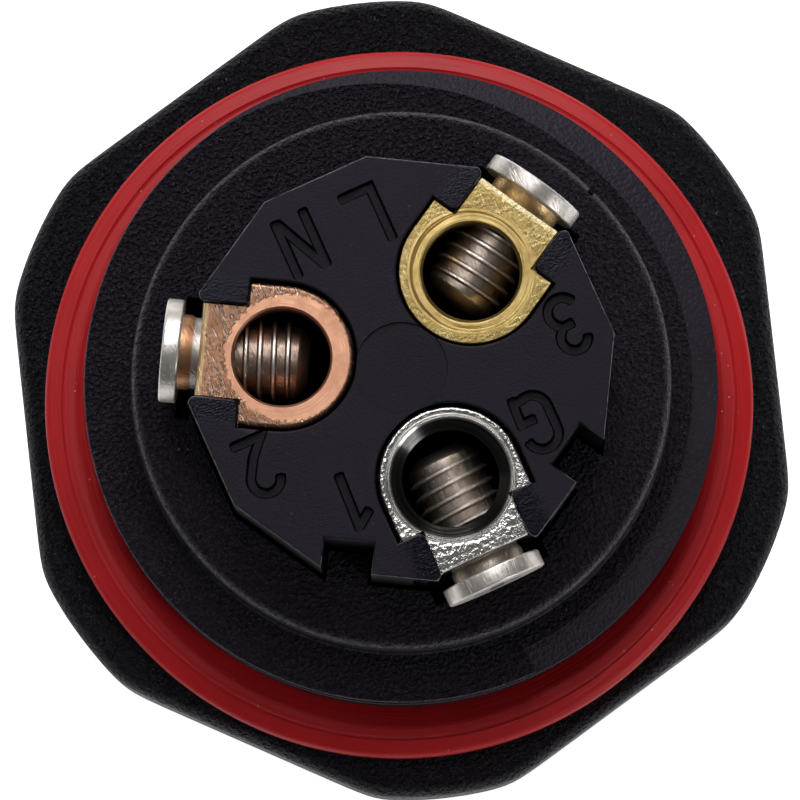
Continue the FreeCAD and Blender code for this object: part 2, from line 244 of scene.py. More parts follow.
thread_pitch = 2.0 * mm
thread_root_radius = spigot_radius - 1.0 * mm
thread_over_radius = spigot_radius + 0.4 * mm
groove_half_root = 0.11 * mm
groove_flank = 0.42 * (thread_over_radius - thread_root_radius)
groove_half_mouth = groove_half_root + groove_flank
groove_neck_gap = 0.25 * mm
groove_lead_in = 1.2 * mm
groove_run_off = 0.6 * mm
groove_end_height = spigot_top + 0.55 * mm
groove_end_angle = 290.7
blunt_start_angle = 90.7
blunt_turn = (groove_end_angle - blunt_start_angle) / 360
cleared_turn = 0.31
groove_section = [
    (thread_root_radius, -groove_half_root),
    (thread_over_radius, -groove_half_mouth),
    (thread_over_radius, groove_half_mouth),
    (thread_root_radius, groove_half_root),
]
cleared_section = [
    (thread_root_radius, 0.0),
    (thread_over_radius, -groove_flank),
    (thread_over_radius, thread_pitch),
    (thread_root_radius, thread_pitch),
]
spigot_phase = radians(groove_end_angle) - 2 * pi * groove_end_height / thread_pitch
spigot_groove = along_thread(
    "spigot_groove", lambda height: groove_section, flange_top + neck_height + groove_neck_gap,
    groove_end_height + groove_run_off, thread_pitch, spigot_phase, steps_per_turn=120)
spigot_start = along_thread(
    "spigot_start", lambda height: cleared_section, groove_end_height - blunt_turn * thread_pitch,
    groove_end_height - cleared_turn * thread_pitch, thread_pitch, spigot_phase, steps_per_turn=120)
collar_groove = along_thread(
    "collar_groove", lambda height: groove_section, -groove_lead_in,
    flange_bottom - neck_height - groove_neck_gap, thread_pitch, phase=0.0, steps_per_turn=96)

pole_angles = {"ground": 90, "line": 210, "neutral": 330}
flat_turn = radians(30)
half_flat = tan(flat_turn / 2)
relief_half_width = 2.3 * mm
rib_inner, rib_near, rib_far = 6.65 * mm, 0.503 * mm, 2.053 * mm
opening_lap = 0.05 * mm


def next_flat(apothem, offset):
    """How far out a line beside a flat's axis meets the neighbouring flat of a twelve-sided outline."""
    return (apothem - offset * sin(flat_turn)) / cos(flat_turn)


relief_start = next_flat(opening_apothem, relief_half_width)
rib = [(opening_apothem, -rib_far), (rib_inner, -rib_far)]
rib += [(rib_inner, -rib_near), (opening_apothem, -rib_near)]
opening_outline = []
for angle in range(0, 360, 30):
    flat = [(opening_apothem, -opening_apothem * half_flat)]
    if angle in pole_angles.values():
        flat = strip(relief_start, bore_radius, relief_half_width)
    elif (angle - 30) % 360 in pole_angles.values():
        flat = []
    if angle == 60:
        flat += rib
    if angle == 120:
        flat += mirrored(rib)
    opening_outline += turned_to(flat, angle)
opening = prism("opening", opening_outline, opening_bottom - opening_lap, rear_top + overshoot)

keyway_half_widths = {90: 1.5 * mm, 215: 0.8 * mm, 325: 0.8 * mm}
keyway_reach = cavity_radius + 0.7 * mm
keyway_top = cavity_groove_bottom - 1.6 * mm
keyways = []
for angle, half_width in keyway_half_widths.items():
    outline = turned_to(strip(0, keyway_reach, half_width), angle)
    keyways.append(prism("keyway", outline, -overshoot, keyway_top))
gate_inner, gate_outer = rear_radius - 0.2 * mm, rear_radius + overshoot
gate_outline = [(gate_inner, -0.14 * mm), (gate_outer, -0.2 * mm)]
gate_outline += [(gate_outer, 0.2 * mm), (gate_inner, 0.1 * mm)]
gate_angle = 200.6
gate_bottom = rear_top - 0.8 * mm
gate_mark = prism("gate_mark", turned_to(gate_outline, gate_angle), gate_bottom, rear_top + overshoot)
combined(body, "DIFFERENCE", [spigot_groove, spigot_start, collar_groove, opening, gate_mark] + keyways)
shaded(body, crease=16.0)


def fill(node, sockets):
    """Links a node's sockets to other nodes, or fills them with values, colours without their alpha."""
    for name, value in sockets.items():
        socket = node.inputs[name]
        if isinstance(value, bpy.types.NodeSocket):
            node.id_data.links.new(value, socket)
        else:
            socket.default_value = (*value, 1.0) if socket.type == "RGBA" else value


def place_node(kind, sockets, **settings):
    """A shader node with its settings and sockets, in the node tree that it is linked to."""
    tree = next(value.id_data for value in sockets.values() if isinstance(value, bpy.types.NodeSocket))
    node = tree.nodes.new("ShaderNode" + kind)
    for name, value in settings.items():
        setattr(node, name, value)
    fill(node, sockets)
    return node


def part_of(vector, axis):
    return place_node("SeparateXYZ", {0: vector}).outputs[axis]


def facing_up(tree):
    """How far a surface looks upwards, as the Z part of its normal."""
    return part_of(tree.nodes.new("ShaderNodeNewGeometry").outputs["Normal"], "Z")


def maths(operation, *values):
    return place_node("Math", dict(enumerate(values)), operation=operation).outputs[0]


def product(first, second):
    return maths("MULTIPLY", first, second)


def vector_result(operation, *values):
    node = place_node("VectorMath", dict(enumerate(values)), operation=operation)
    return node.outputs["Value" if operation in ("LENGTH", "DOT_PRODUCT") else "Vector"]


def noise(place, scale, detail, **others):
    sockets = {"Vector": place, "Scale": scale, "Detail": detail, **others}
    return place_node("TexNoise", sockets).outputs["Fac"]


def ranged(value, low, high, to_low=0.0, to_high=1.0, **settings):
    """A value carried from one range to another and kept inside it."""
    sockets = {"Value": value, "From Min": low, "From Max": high, "To Min": to_low, "To Max": to_high}
    return place_node("MapRange", sockets, **settings).outputs["Result"]


def between(factor, low, high):
    """A value that goes from low to high as a factor goes from 0 to 1."""
    return ranged(factor, 0.0, 1.0, low, high)


def blended(factor, first, second, blend_type="MIX"):
    sockets = {"Factor": factor, "A": first, "B": second}
    return place_node("Mix", sockets, data_type="RGBA", blend_type=blend_type).outputs["Result"]


def tinted(colour, tint):
    return blended(1.0, colour, tint, "MULTIPLY")


def ramp(factor, stops, interpolation="LINEAR"):
    """A ramp with its own stops of (position, colour), where a bare number stands for a grey."""
    node = place_node("ValToRGB", {"Fac": factor})
    node.color_ramp.interpolation = interpolation
    elements = node.color_ramp.elements
    while len(elements) < len(stops):
        elements.new(1.0)
    for element, (position, colour) in zip(elements, stops):
        element.position = position
        element.color = (*colour, 1.0) if isinstance(colour, tuple) else (colour, colour, colour, 1.0)
    return node.outputs["Color"]


def bumped(height, depth, invert=False, **others):
    """The normal of a surface that is raised, or sunk, by a depth times a height of 0 to 1."""
    sockets = {"Height": height, "Strength": 1.0, "Distance": depth, **others}
    return place_node("Bump", sockets, invert=invert).outputs["Normal"]


def new_group(name, inputs, outputs):
    """An empty shader node group that gives out numbers, with its entry's sockets and its exit."""
    group = bpy.data.node_groups.new(name, "ShaderNodeTree")
    for label, value in inputs.items():
        kind = "NodeSocketFloat" if isinstance(value, float) else "NodeSocketVector"
        group.interface.new_socket(name=label, in_out="INPUT", socket_type=kind).default_value = value
    for label in outputs:
        group.interface.new_socket(name=label, in_out="OUTPUT", socket_type="NodeSocketFloat")
    return group, group.nodes.new("NodeGroupInput").outputs, group.nodes.new("NodeGroupOutput")


def from_group(group, sockets):
    """What a node group gives out in a material."""
    return place_node("Group", sockets, node_tree=group).outputs


def new_material(name):
    """A material with its shader, and the place in the part's own frame."""
    material = bpy.data.materials.new(name)
    material.use_nodes = True
    nodes = material.node_tree.nodes
    return material, nodes["Principled BSDF"], nodes.new("ShaderNodeTexCoord").outputs["Object"]


# Pebbled grain of an eroded mould: noise with rounded humps, and slow blotches for its tone
pebble_grain, given, gives = new_group(
    "pebble_grain", {"Place": (0, 0, 0), "Cells per metre": 5000.0}, ["Height", "Tone"])
humps = noise(given["Place"], given["Cells per metre"], 2.5, Roughness=0.5, Distortion=0.2)
fill(gives, {"Height": ranged(humps, 0.28, 0.72), "Tone": noise(given["Place"], 450.0, 2.0)})

# Rubbed and lit edges: the rounded edges, known by how far they lean from the level faces, broken up by
# noise, for a lighter colour that is partly wear and partly a painted highlight
edge_wear_and_sheen, given, gives = new_group("edge_wear_and_sheen", {"Place": (0, 0, 0)}, ["Mask"])
on_edge = ramp(facing_up(edge_wear_and_sheen), [(0.35, 0.0), (0.55, 1.0), (0.80, 1.0), (0.91, 0.0)])
breaks = ranged(noise(given["Place"], 3500.0, 4.0, Roughness=0.65), 0.35, 0.62)
fill(gives, {"Mask": product(on_edge, breaks)})

# Dust: sparse specks, each in its own cell
dust_specks, given, gives = new_group(
    "dust_specks", {"Place": (0, 0, 0), "Specks per metre": 900.0}, ["Mask"])
cells = place_node("TexVoronoi", {"Vector": given["Place"], "Scale": given["Specks per metre"]})
dots = ranged(cells.outputs["Distance"], 0.09, 0.03)
kept_dots = ranged(part_of(cells.outputs["Color"], "X"), 0.5, 1.0)
fill(gives, {"Mask": product(dots, kept_dots)})

# Tints on the body: purple, lighter rings; a darker, greener hexagon; an even tone on the smooth thread
# flanks. They are partly the moulding's own tone and partly painted light: painted shade on the hexagon,
# painted sheen on the rings and thread flanks.
ring_low, ring_high = (0.0085, 0.0065, 0.0108), (0.0310, 0.0248, 0.0372)
hex_low, hex_high = (0.0020, 0.0034, 0.0045), (0.0135, 0.0178, 0.0222)
thread_low, thread_high = (0.0135, 0.0106, 0.0164), (0.0190, 0.0155, 0.0228)
# Lighter colour on the rounded edges of the rings: partly wear, partly a painted highlight where the edges
# catch the light.
body_worn_and_lit = (0.085, 0.079, 0.089)
level_cosine = 0.96
zone_lap = 0.2 * mm
hex_start = (flange_bottom - zone_lap) / rear_top
hex_end = (flange_top + zone_lap) / rear_top
rear_start = (spigot_top + zone_lap) / rear_top
rim_start = (spigot_top - zone_lap) / rear_top
body_nylon, shader, place = new_material("body_nylon")
grain = from_group(pebble_grain, {"Place": place, "Cells per metre": 6400.0})
wear_and_sheen = from_group(edge_wear_and_sheen, {"Place": place})
level = maths("DIVIDE", part_of(place, "Z"), rear_top)
low_tint = ramp(level, [(0.0, ring_low), (hex_start, hex_low), (hex_end, ring_low)], "CONSTANT")
high_tint = ramp(level, [(0.0, ring_high), (hex_start, hex_high), (hex_end, ring_high)], "CONSTANT")
threaded = ramp(level, [(0.0, 1.0), (hex_start, 0.0), (hex_end, 1.0), (rear_start, 0.0)], "CONSTANT")
smooth = product(maths("LESS_THAN", facing_up(body_nylon.node_tree), level_cosine), threaded)
# Painted reflection: the smooth thread flanks get their own even colour, as if they caught the light.
thread_sheen_tint = ramp(grain["Tone"], [(0.3, thread_low), (0.7, thread_high)])
# Painted shade and highlight in the grain: the hollows take the low tint and the humps the high one.
faces = blended(smooth, blended(grain["Height"], low_tint, high_tint), thread_sheen_tint)
ring_edges = ramp(level, [(0.0, 0.0), (rim_start, 1.0)], "CONSTANT")
relief = product(grain["Height"], between(smooth, 1.0, 0.16))
fill(shader, {
    "Base Color": blended(product(wear_and_sheen["Mask"], ring_edges), faces, body_worn_and_lit),
    "Roughness": product(between(grain["Tone"], 0.25, 0.32), between(smooth, 1.0, 1.7)),
    "Normal": bumped(relief, 0.24 * mm),
    "Specular IOR Level": between(smooth, 0.42, 0.30),
    "Specular Tint": (0.88, 0.83, 1.0)})
body.data.materials.append(body_nylon)
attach(body, "coupler")
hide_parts("coupler_body")

# Face seals: two red moulded silicone rings, slipped over the necks and lying on both faces of the hexagon.
# Each has a rounded outer bead, a fine parting line and an inner land that falls towards the neck.
seal_inner = 11.482 * mm
seal_outer = 13.582 * mm
seal_height = 1.5 * mm
bead_size = 0.34 * mm
bead_fall = 0.11 * mm
line_start = seal_outer - 0.64 * mm
line_width, line_depth = 0.30 * mm, 0.05 * mm
line_edge_drop = 0.01 * mm
land_start, land_slope = line_start - 0.6 * mm, 0.06 * mm
land_drop = 0.3 * mm
land_round = 0.2 * mm
foot_round = 0.1 * mm
seal_angles = [2 * pi * k / 288 for k in range(288)]
seal_section = edge_arc((seal_outer - foot_round, foot_round), foot_round, -90, 0, 4)
seal_section += edge_arc((seal_outer - bead_size, seal_height - bead_fall - bead_size), bead_size, 0, 80, 12)
seal_section += [
    (line_start, seal_height),
    (line_start - 0.3 * line_width, seal_height - line_depth),
    (line_start - 0.7 * line_width, seal_height - line_depth),
    (line_start - line_width, seal_height - line_edge_drop),
    (land_start, seal_height - land_slope),
]
land_middle = (seal_inner + land_round, seal_height - land_drop - land_round)
seal_section += edge_arc(land_middle, land_round, 90, 180, 6)
seal_section += [(seal_inner, foot_round), (seal_inner + foot_round, 0.0)]

# Fine rings left by a mould or a lathe, round an upright axis through a given point
turned_lines, given, gives = new_group(
    "turned_lines", {"Place": (0, 0, 0), "Axis": (0, 0, 0), "Lines per metre": 9000.0}, ["Height", "Radius"])
offset = vector_result("SUBTRACT", given["Place"], given["Axis"])
line_radius = vector_result("LENGTH", vector_result("MULTIPLY", offset, (1, 1, 0)))
line_noise = place_node("TexNoise", {
    "Vector": vector_result("MULTIPLY", offset, (240, 240, 240)),
    "W": product(line_radius, given["Lines per metre"]),
    "Scale": 1.0, "Detail": 3.0, "Roughness": 0.6}, noise_dimensions="4D")
fill(gives, {"Height": line_noise.outputs["Fac"], "Radius": line_radius})

red_low, red_high = (0.52, 0.010, 0.014), (0.62, 0.014, 0.019)
seal_dust = (0.85, 0.5, 0.5)
for node_name, piece_name, upright in (("flange_seal", "rear_seal", 1), ("mating_seal", "front_seal", -1)):
    low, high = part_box(node_name)
    seat = low.z if upright > 0 else high.z
    seal_centre = Vector(((low.x + high.x) / 2, (low.y + high.y) / 2, seat))
    section = [(radius, upright * height) for radius, height in seal_section]
    seal = lofted(piece_name, turned_rings(seal_angles, section), closed=True)
    seal.data.transform(Matrix.Translation(seal_centre))
    shaded(seal, crease=40.0)
    silicone, shader, place = new_material("red_silicone")
    lines = from_group(turned_lines, {"Place": place, "Axis": seal_centre, "Lines per metre": 7000.0})
    dust = from_group(dust_specks, {"Place": place, "Specks per metre": 2200.0})
    red = ramp(noise(place, 260.0, 3.0), [(0.3, red_low), (0.7, red_high)])
    fill(shader, {
        "Base Color": blended(dust["Mask"], red, seal_dust),
        "Roughness": between(lines["Height"], 0.34, 0.52),
        "Normal": bumped(lines["Height"], 0.03 * mm),
        "Specular IOR Level": 0.34})
    seal.data.materials.append(silicone)
    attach(seal, "coupler")
    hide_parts(node_name)

# Contact carrier: twelve-sided block of satin black nylon, pushed in from the mating side until its flange
# meets the shoulder. Its three pockets hold the terminals under tabs, and the pole marks are sunk in its
# face.
carrier_face = carrier_high.z
carrier_apothem = 7.7 * mm
terminal_pitch = 4.43 * mm
pocket_half_width = 2.78 * mm
pocket_floor = carrier_face - 4.55 * mm
tab_underside = carrier_face - 1.0 * mm
tab_inner_end = 5.84 * mm
mouth_half_width = 1.76 * mm
tab_corner_round = 0.28 * mm
tab_corner_side = -mouth_half_width - tab_corner_round
key_slot_inner, key_slot_near, key_slot_far = 6.5 * mm, 0.353 * mm, 2.203 * mm
key_slot_end = next_flat(carrier_apothem, key_slot_far)
carrier_edge_round = 0.07 * mm
rounded_depth = 0.5 * mm
layer_lap = 0.02 * mm
wall_step = 0.01 * mm


def carrier_outline(pole_side, inset):
    """The twelve flats with their key slots, and one side of each pocket's outline with its mirror image."""
    apothem = carrier_apothem - inset
    key_slot = [(key_slot_end - inset, -key_slot_far), (key_slot_inner, -key_slot_far)]
    key_slot += [(key_slot_inner, -key_slot_near), (apothem, -key_slot_near)]
    outline = []
    for angle in range(0, 360, 30):
        flat = [(apothem, -apothem * half_flat)]
        if pole_side and angle in pole_angles.values():
            flat = pole_side + mirrored(pole_side)
        elif angle == 60:
            flat = key_slot
        elif angle == 120:
            flat = mirrored(key_slot)
        elif angle == 150 or (pole_side and (angle - 30) % 360 in pole_angles.values()):
            flat = []
        outline += turned_to(flat, angle)
    return outline


def pocket_wall(half_width):
    """Round end of a pocket on one side, to just short of its inmost point."""
    return edge_arc((terminal_pitch, 0.0), half_width, 270, 180, 24)[:-1]


def rounded_edges(piece, above, size, sharper_than=20):
    """Rounds the edges above a height that turn outwards by more than an angle in degrees."""
    form = bmesh.new()
    form.from_mesh(piece.data)
    bmesh.ops.remove_doubles(form, verts=form.verts, dist=1e-7)
    bmesh.ops.dissolve_limit(form, angle_limit=radians(0.5), verts=form.verts, edges=form.edges)
    chosen = [edge for edge in form.edges
              if len(edge.link_faces) == 2 and min(vertex.co.z for vertex in edge.verts) > above
              and edge.calc_face_angle_signed() > radians(sharper_than)]
    bmesh.ops.bevel(form, geom=chosen, offset=size, offset_type="OFFSET", segments=3, profile=0.5,
                    affect="EDGES", clamp_overlap=True)
    form.to_mesh(piece.data)
    form.free()


face_side = [(carrier_apothem, -carrier_apothem * half_flat)]
face_side += edge_arc((carrier_apothem - tab_corner_round, tab_corner_side), tab_corner_round, 0, 90, 6)
face_side += edge_arc((tab_inner_end + tab_corner_round, tab_corner_side), tab_corner_round, 90, 180, 6)
face_side += [(tab_inner_end, -pocket_half_width)] + pocket_wall(pocket_half_width)
wide_half_width = pocket_half_width + wall_step
pocket_side = [(next_flat(carrier_apothem - wall_step, wide_half_width), -wide_half_width)]
pocket_side += pocket_wall(wide_half_width)
carrier = prism("carrier_block", carrier_outline(face_side, 0.0), tab_underside, carrier_face)
rounded_edges(carrier, carrier_face - rounded_depth, carrier_edge_round)
middle = prism("carrier_middle", carrier_outline(pocket_side, wall_step), pocket_floor - layer_lap,
               tab_underside + layer_lap)
column = prism("carrier_column", carrier_outline(None, 2 * wall_step), shoulder - layer_lap, pocket_floor)
flange_radius = cavity_radius - 0.15 * mm
flange_edge = 0.15 * mm
groove_middle = shoulder - 1.6 * mm
groove_half, groove_depth = 0.75 * mm, 0.9 * mm
flange_section = edge_arc((flange_radius - flange_edge, carrier_low.z + flange_edge), flange_edge, -90, 0, 6)
flange_section += [
    (flange_radius, groove_middle - groove_half),
    (flange_radius - groove_depth, groove_middle - groove_half),
    (flange_radius - groove_depth, groove_middle + groove_half),
    (flange_radius, groove_middle + groove_half),
    (flange_radius, shoulder),
]
flange = lofted("carrier_flange", turned_rings(seal_angles, flange_section))
combined(carrier, "UNION", [middle, column, flange])

shank_hole_radius, pin_hole_radius = 2.55 * mm, 1.88 * mm
shank_bottom = carrier_low.z + 2.4 * mm
sink_bottom_radius, sink_top_radius = 1.70 * mm, 1.72 * mm
sink_depth, sink_overshoot = 0.12 * mm, 0.1 * mm
bore_angles = [2 * pi * k / 64 for k in range(64)]
hole_section = [(pin_hole_radius, carrier_low.z - overshoot), (pin_hole_radius, shank_bottom),
                (shank_hole_radius, shank_bottom), (shank_hole_radius, pocket_floor + overshoot)]
sink_section = [(sink_bottom_radius, carrier_face - sink_depth),
                (sink_top_radius, carrier_face + sink_overshoot)]
to_bore = Matrix.Translation((terminal_pitch, 0, 0))
cutters = []
for angle in pole_angles.values():
    hole = lofted("terminal_hole", turned_rings(bore_angles, hole_section))
    hole.data.transform(Matrix.Rotation(radians(angle), 4, "Z") @ to_bore)
    cutters.append(hole)
cutters.append(lofted("centre_sink", turned_rings(bore_angles, sink_section)))
combined(carrier, "DIFFERENCE", cutters)

mark_depth = 0.36 * mm
mark_half_width, mark_wall = 0.21 * mm, 0.08 * mm
mark_end_reach, mark_end_width = 0.35, 0.6
upwards = Vector((0, 0, 1))


def sunk_stroke(points):
    """Cutter for one stroke of a pole mark, a flat-floored groove with steep walls along points in mm.

    It reaches past its first and last points, and narrows there, by shares of its half width.
    """
    path = [Vector((x * mm, y * mm, 0)) for x, y in points]
    runs = [(following - point).normalized() for point, following in zip(path, path[1:])]
    corners = []
    for before, after in zip(runs[:1] + runs, runs + runs[-1:]):
        across = (before + after).normalized().cross(upwards)
        corners.append(across / across.dot(before.cross(upwards)))
    rings = []
    for half_width, height in ((mark_half_width - mark_wall, carrier_face - mark_depth),
                               (mark_half_width + mark_wall, carrier_face + mark_depth)):
        first = path[0] - mark_end_reach * half_width * runs[0]
        last = path[-1] + mark_end_reach * half_width * runs[-1]
        first_side = mark_end_width * half_width * corners[0]
        last_side = mark_end_width * half_width * corners[-1]
        ring = [point + half_width * corner for point, corner in zip(path, corners)]
        ring += [last + last_side, last - last_side]
        ring += reversed([point - half_width * corner for point, corner in zip(path, corners)])
        ring += [first - first_side, first + first_side]
        rings.append([point + height * upwards for point in ring])
    return lofted("mark_stroke", rings)


mark_strokes = (
    [(-1.70, -4.50), (-1.70, -6.61), (-0.51, -6.61)],
    [(0.92, -6.86), (0.92, -4.60)],
    [(2.05, -6.84), (2.05, -4.64)],
    [(0.98, -4.66), (1.99, -6.78)],
    edge_arc((-3.75, 4.32), 0.6, 10, 180, 14) + edge_arc((-3.75, 3.45), 0.6, 180, 285, 10),
    [(-3.60, 2.87), (-3.20, 2.97)],
    [(-3.22, 2.72), (-3.17, 3.88)],
    [(-3.10, 3.72), (-3.72, 3.72)],
    [(3.72, 2.63), (3.82, 4.80)],
    [(3.84, 4.72), (3.22, 4.27)],
    edge_arc((-6.27, 0.55), 0.54, 205, 415, 16),
    edge_arc((-6.30, 1.57), 0.50, -55, 165, 16),
    [(-5.98, 1.07), (-6.46, 1.06)],
    [(6.90, 0.13), (5.75, 0.13), (6.35, 0.80)] + edge_arc((6.22, 1.67), 0.55, -25, 170, 14),
)
combined(carrier, "DIFFERENCE", [sunk_stroke(points) for points in mark_strokes])
shaded(carrier, crease=32.0)

carrier_tone_low, carrier_tone_high = (0.0085, 0.0063, 0.0120), (0.0115, 0.0088, 0.0158)
# The carrier's outer rounded edges get a light grey: partly wear, partly a painted highlight where they
# catch the light.
carrier_worn_and_lit, carrier_dust = (0.22, 0.21, 0.225), (0.06, 0.058, 0.065)
worn_lit_start, worn_lit_full = 6.9 * mm, 7.5 * mm
# The tabs by the pocket mouths are glossier, a real finish, and their colour is darkened to navy as a
# painted dark reflection of the surroundings.
tab_reflection_tint = (0.25, 0.32, 0.55)
tab_skin_side, tab_skin_full_side = 3.0 * mm, 2.3 * mm
tab_skin_start, tab_skin_full = 5.4 * mm, 5.8 * mm
# Painted shade by depth below the face: near black on the walls of the marks and on all that lies deeper,
# slightly darker on the floor of the centre sink, and half as bright on the floors of the marks.
wall_tone, sink_tone, mark_floor_tone = 0.15, 0.85, 0.5
shown_depth = 0.5 * mm
carrier_nylon, shader, place = new_material("carrier_nylon")
grain = from_group(pebble_grain, {"Place": place, "Cells per metre": 14000.0})
wear_and_sheen = from_group(edge_wear_and_sheen, {"Place": place})
dust = from_group(dust_specks, {"Place": place, "Specks per metre": 1500.0})
black = ramp(grain["Tone"], [(0.3, carrier_tone_low), (0.7, carrier_tone_high)])
below_face = ranged(part_of(place, "Z"), carrier_face, carrier_face - shown_depth)
sunk_shade = ramp(below_face, [
    (0.0, 1.0), (0.04, 1.0), (0.10, wall_tone), (0.20, wall_tone), (0.22, sink_tone), (0.26, sink_tone),
    (0.28, wall_tone), (0.62, wall_tone), (0.68, mark_floor_tone), (0.76, mark_floor_tone),
    (0.80, wall_tone)])
from_axis = vector_result("LENGTH", vector_result("MULTIPLY", place, (1, 1, 0)))
off_ground = maths("SUBTRACT", maths("ARCTAN2", part_of(place, "Y"), part_of(place, "X")), pi / 2)
off_pole = maths("WRAP", off_ground, pi / 3, -pi / 3)
along_pole = product(from_axis, maths("COSINE", off_pole))
beside_pole = maths("ABSOLUTE", product(from_axis, maths("SINE", off_pole)))
near_mouth = ranged(beside_pole, tab_skin_side, tab_skin_full_side, interpolation_type="SMOOTHSTEP")
tab_skin = product(near_mouth, ranged(along_pole, tab_skin_start, tab_skin_full))
tabbed = tinted(tinted(black, sunk_shade), ramp(tab_skin, [(0.0, 1.0), (1.0, tab_reflection_tint)]))
worn_and_lit = blended(product(wear_and_sheen["Mask"], ranged(from_axis, worn_lit_start, worn_lit_full)), tabbed, carrier_worn_and_lit)
fill(shader, {
    "Base Color": blended(dust["Mask"], worn_and_lit, carrier_dust),
    "Roughness": product(between(grain["Tone"], 0.36, 0.48), between(tab_skin, 1.0, 0.3)),
    "Normal": bumped(grain["Height"], 0.004 * mm),
    "Specular IOR Level": 0.22,
    "Specular Tint": (0.92, 0.87, 1.0)})
carrier.data.materials.append(carrier_nylon)
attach(carrier, "coupler")
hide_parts("contact_carrier")

# Inner seals and retaining ring: black nitrile rings in the grooves of the carrier and of the contacts, and
# an open ring of spring steel that snaps in under the carrier. They keep the shapes of the solids.
nitrile_low, nitrile_high = (0.014, 0.014, 0.015), (0.024, 0.024, 0.025)
nitrile, shader, place = new_material("black_rubber")
grain = from_group(pebble_grain, {"Place": place, "Cells per metre": 9000.0})
fill(shader, {
    "Base Color": ramp(grain["Tone"], [(0.3, nitrile_low), (0.7, nitrile_high)]),
    "Roughness": 0.6,
    "Normal": bumped(grain["Height"], 0.01 * mm)})

# Metal scratches: long noise drawn out in five directions, and a stain
metal_scratches, given, gives = new_group(
    "metal_scratches", {"Place": (0, 0, 0), "Scratches per metre": 9000.0}, ["Height", "Stain"])
scratch_height = 0.0
for turn in (0.35, 0.95, 1.5, 2.1, 2.7):
    drawn = place_node("Mapping", {
        "Vector": given["Place"], "Rotation": (0.2, 0.1, turn), "Scale": (1.0, 0.11, 0.5)})
    streaks = noise(drawn.outputs["Vector"], given["Scratches per metre"], 2.0, Distortion=0.4)
    scratch_height = maths("MAXIMUM", scratch_height, ranged(streaks, 0.62, 0.72))
fill(gives, {"Height": scratch_height, "Stain": noise(given["Place"], 1400.0, 5.0, Roughness=0.65)})
stain_roughness = 0.12


def metal(name, clean, dull, roughness, scratches_per_metre):
    """Stained metal without its colour and relief, and its stained colour and scratches to make them of."""
    material, shader, place = new_material(name)
    marks = from_group(metal_scratches, {"Place": place, "Scratches per metre": scratches_per_metre})
    fill(shader, {
        "Metallic": 1.0,
        "Roughness": ranged(marks["Stain"], 0.3, 0.7, roughness + stain_roughness, roughness)})
    colour = ramp(marks["Stain"], [(0.35, dull), (0.6, clean)])
    return material, shader, place, colour, marks["Height"]


steel_clean, steel_dull = (0.36, 0.36, 0.38), (0.2, 0.2, 0.21)
spring_steel, shader, place, colour, scratched = metal(
    "spring_steel", steel_clean, steel_dull, roughness=0.34, scratches_per_metre=7000.0)
fill(shader, {"Base Color": colour, "Normal": bumped(scratched, 0.002 * mm, invert=True)})
inner_finishes = {"carrier_seal": nitrile, "retaining_ring": spring_steel}
for pole in pole_angles:
    inner_finishes["contact_seal_" + pole] = nitrile
for node_name, finish in inner_finishes.items():
    ring = frame["nodes"][node_name]
    ring.data.materials.clear()
    ring.data.materials.append(finish)

# Terminals: three one-piece pillars of brass, copper alloy and nickel-plated brass, laid in the carrier's
# pockets. Each has a drilled wire bore, a cross hole for its clamp screw and a contact pin below.
block_half_width = 2.69 * mm
block_end = 7.5 * mm
block_corner = 0.3 * mm
terminal_top = carrier_face - 0.25 * mm
top_edge_depth = 0.1 * mm
rebate_floor = tab_underside - 0.05 * mm
rebate_start = tab_inner_end - 0.05 * mm
rebate_end = block_end + overshoot
rebate_side = block_half_width + overshoot
boss_half_width = mouth_half_width - 0.05 * mm
wire_radius = 1.8 * mm
wire_bottom = terminal_top - 9.0 * mm
drill_tip, drill_point = 0.9 * mm, 0.05 * mm
clamp_axis = carrier_face - 2.4 * mm
clamp_hole_radius = 1.54 * mm
clamp_hole_lead, clamp_hole_flare = 0.15 * mm, 0.65 * mm
shank_radius = 2.5 * mm
shank_groove_radius = 1.8 * mm
shank_groove_low, shank_groove_high = shank_bottom + 1.55 * mm, shank_bottom + 2.85 * mm
shank_lap = 0.5 * mm
pin_radius = mounts["contact_ground"]["dims"]["r_mm"] * mm
pin_root_radius = pin_radius + 0.3 * mm
pin_root_bottom = carrier_low.z - 0.4 * mm
pin_undercut_radius = pin_radius - 0.2 * mm
pin_undercut_bottom = pin_root_bottom - 0.4 * mm
pin_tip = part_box("terminal_ground")[0].z
pin_tip_flat, pin_tip_round = 0.5 * mm, 0.9 * mm
